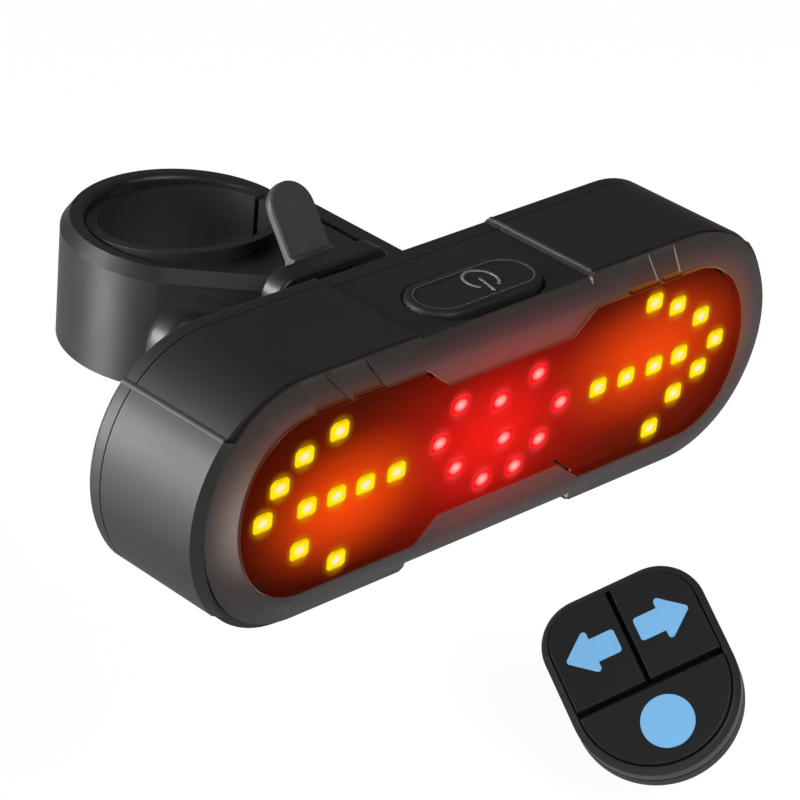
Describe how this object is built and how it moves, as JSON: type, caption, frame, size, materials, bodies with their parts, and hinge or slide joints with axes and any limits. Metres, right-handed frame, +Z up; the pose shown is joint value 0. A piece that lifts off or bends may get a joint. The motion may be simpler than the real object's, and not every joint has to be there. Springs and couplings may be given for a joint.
{
  "type": "bicycle turn signal light",
  "caption": "Rear bicycle turn signal light: amber and red LEDs behind a red lens, quick-release seat post clamp, and a wireless handlebar remote with arrow keys.",
  "frame": {"origin": "on the seat post's axis, 4.7 mm below the clamp ring's upper face", "axes": "+Z up along the seat post, -Y the way the lens faces, X along the light's length"},
  "size_m": [0.2088, 0.0912, 0.1751],
  "materials": {
    "housing_black": "fine sand texture",
    "bezel_gloss": "polished, smoke tinted",
    "lens_red": "polished, red tinted",
    "mask_black": "matt",
    "led_amber": "lit amber",
    "led_red": "lit red",
    "board": "solder resist",
    "chip": "moulded",
    "pouch": "foil",
    "foam": "closed cell",
    "steel": "plain",
    "screw_black": "black oxide",
    "contact": "sprung sheet",
    "clamp_black": "fine sand texture",
    "rubber_black": "matt",
    "key_black": "soft touch",
    "inlay_blue": "translucent"
  },
  "bodies": {
    "clamp": {"clamp_band": "clamp_black", "post_liner": "rubber_black", "clamp_screw": "screw_black", "clamp_nut": "steel", "rail_receiver": "clamp_black", "receiver_screws": "screw_black", "latch_pin": "steel", "remote_frame": "housing_black", "remote_base": "housing_black", "remote_seal": "rubber_black", "remote_screws": "screw_black", "dome_switches": "steel", "remote_board": "board", "coin_cell": "steel", "cell_contact": "contact", "bar_pad": "rubber_black", "bar_strap": "rubber_black"},
    "light": {"main_housing": "housing_black", "rear_cover": "housing_black", "cover_seal": "rubber_black", "cover_screws": "screw_black", "front_bezel": "bezel_gloss", "lens_window": "lens_red", "light_mask": "mask_black", "amber_leds_left": "led_amber", "amber_leds_right": "led_amber", "red_leds": "led_red", "led_board": "board", "control_chips": "chip", "battery": "pouch", "battery_pad": "foam", "tact_switch": "steel", "button_board": "board", "usb_socket": "steel"},
    "latch": {"release_tab": "clamp_black"},
    "power_button": {"power_button": "housing_black"},
    "port_flap": {"port_cover": "rubber_black"},
    "left_key": {"key_left": "key_black", "arrow_inlay_left": "inlay_blue"},
    "right_key": {"key_right": "key_black", "arrow_inlay_right": "inlay_blue"},
    "round_key": {"key_round": "key_black", "dot_inlay": "inlay_blue"}
  },
  "joints": [
    {"name": "light_lift", "type": "slide", "parent": "clamp", "child": "light", "axis": [0, 0, 1], "range_m": [0, 0.018]},
    {"name": "latch_turn", "type": "hinge", "parent": "clamp", "child": "latch", "pos_m": [0, -0.027, 0.0015], "axis": [-1, 0, 0], "range_deg": [0, 9.5], "stiffness_Nm_per_rad": 0.05, "springref_deg": -5.73},
    {"name": "power_press", "type": "slide", "parent": "light", "child": "power_button", "axis": [0, 0, -1], "range_m": [0, 0.0006], "stiffness_N_per_m": 800, "springref_m": -0.0005},
    {"name": "port_open", "type": "hinge", "parent": "light", "child": "port_flap", "pos_m": [-0.0075, -0.0586, -0.0184], "axis": [0, 1, 0], "range_deg": [0, 110], "stiffness_Nm_per_rad": 0.001, "springref_deg": -17.19},
    {"name": "left_key_press", "type": "slide", "parent": "clamp", "child": "left_key", "axis": [0.6225, 0.2792, -0.7311], "range_m": [0, 0.0005], "stiffness_N_per_m": 400, "springref_m": -0.0005},
    {"name": "right_key_press", "type": "slide", "parent": "clamp", "child": "right_key", "axis": [0.6225, 0.2792, -0.7311], "range_m": [0, 0.0005], "stiffness_N_per_m": 400, "springref_m": -0.0005},
    {"name": "round_key_press", "type": "slide", "parent": "clamp", "child": "round_key", "axis": [0.6225, 0.2792, -0.7311], "range_m": [0, 0.0005], "stiffness_N_per_m": 400, "springref_m": -0.0005}
  ],
  "couplings": [
    {"joint": "latch_turn", "follows": "light_lift", "rad_per_m": 8.7266}
  ]
}
